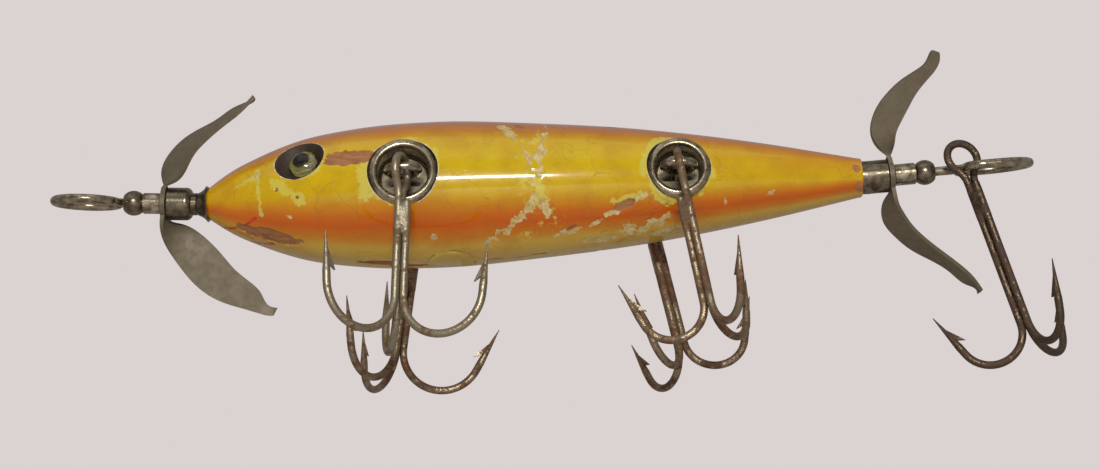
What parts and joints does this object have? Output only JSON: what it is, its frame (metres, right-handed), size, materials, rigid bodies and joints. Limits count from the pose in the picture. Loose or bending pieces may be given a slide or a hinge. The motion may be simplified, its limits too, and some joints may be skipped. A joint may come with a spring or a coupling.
{
  "type": "fishing lure",
  "caption": "Slender wooden minnow lure with a spinning propeller at each end, glass eyes and hanging treble hooks, drawn through water by an eye at its nose.",
  "frame": {"origin": "centre of the line-tie eye at the front of the lure", "axes": "+X towards the tail, +Z towards the fish's back, -Y the fish's left side"},
  "size_m": [0.144, 0.0458, 0.0465],
  "materials": {
    "painted_wood": "old glossy varnished paint, chipped",
    "lead": "dull lead",
    "filler": "filler, painted over",
    "eye_glass": "clear glass",
    "eye_black": "black glass",
    "eye_iris": "painted olive yellow",
    "hook_dark": "dark bronzed steel",
    "hook_nickel": "worn nickel over steel",
    "hook_rusty": "rusted steel",
    "propeller_nickel": "dull aged nickel plate",
    "cup_nickel": "aged nickel plate",
    "wire_nickel": "aged nickel plated brass wire",
    "turned_nickel": "aged nickel plated brass"
  },
  "bodies": {
    "lure": {"belly_plug": "filler", "belly_weight": "lead", "front_bead": "turned_nickel", "front_bearing": "turned_nickel", "front_left_cup": "cup_nickel", "front_left_screw_eye": "wire_nickel", "front_right_cup": "cup_nickel", "front_right_screw_eye": "wire_nickel", "front_thimble": "turned_nickel", "left_eye_glass": "eye_glass", "left_eye_iris": "eye_iris", "left_eye_pupil": "eye_black", "line_tie": "wire_nickel", "nose_cap": "turned_nickel", "rear_bead": "turned_nickel", "rear_bearing": "turned_nickel", "rear_left_cup": "cup_nickel", "rear_left_screw_eye": "wire_nickel", "rear_right_cup": "cup_nickel", "rear_right_screw_eye": "wire_nickel", "right_eye_glass": "eye_glass", "right_eye_iris": "eye_iris", "right_eye_pupil": "eye_black", "tail_cap": "turned_nickel", "tail_loop": "wire_nickel", "wood_body": "painted_wood"},
    "front_propeller": {"front_propeller": "propeller_nickel"},
    "rear_propeller": {"rear_propeller": "propeller_nickel"},
    "front_left_treble": {"front_left_double_hook": "hook_nickel", "front_left_single_hook": "hook_nickel"},
    "front_right_treble": {"front_right_double_hook": "hook_rusty", "front_right_single_hook": "hook_rusty"},
    "rear_left_treble": {"rear_left_double_hook": "hook_rusty", "rear_left_single_hook": "hook_rusty"},
    "rear_right_treble": {"rear_right_double_hook": "hook_rusty", "rear_right_single_hook": "hook_rusty"},
    "tail_treble": {"tail_double_hook": "hook_dark", "tail_single_hook": "hook_dark"}
  },
  "joints": [
    {"name": "front_propeller_spin", "type": "hinge", "parent": "lure", "child": "front_propeller", "pos_m": [0.01118, 0, -0.00068], "axis": [0.9981, 0, -0.061], "continuous": true},
    {"name": "rear_propeller_spin", "type": "hinge", "parent": "lure", "child": "rear_propeller", "pos_m": [0.11541, 0, -0.00083], "axis": [0.9986, 0, 0.0523], "continuous": true},
    {"name": "front_left_treble_swing", "type": "hinge", "parent": "lure", "child": "front_left_treble", "pos_m": [0.04612, -0.0116, -0.00102], "axis": [-1, 0, 0], "range_deg": [-3, 95]},
    {"name": "front_right_treble_swing", "type": "hinge", "parent": "lure", "child": "front_right_treble", "pos_m": [0.04612, 0.0116, -0.00102], "axis": [1, 0, 0], "range_deg": [-3, 85]},
    {"name": "rear_left_treble_swing", "type": "hinge", "parent": "lure", "child": "rear_left_treble", "pos_m": [0.08472, -0.0092, -0.00102], "axis": [-1, 0, 0], "range_deg": [-3, 95]},
    {"name": "rear_right_treble_swing", "type": "hinge", "parent": "lure", "child": "rear_right_treble", "pos_m": [0.08022, 0.0099, -0.00102], "axis": [1, 0, 0], "range_deg": [-2, 95]},
    {"name": "tail_treble_swing", "type": "hinge", "parent": "lure", "child": "tail_treble", "pos_m": [0.12588, -0.00221, -0.00092], "axis": [0.0144, -0.9614, -0.2749], "range_deg": [-1, 55]}
  ]
}
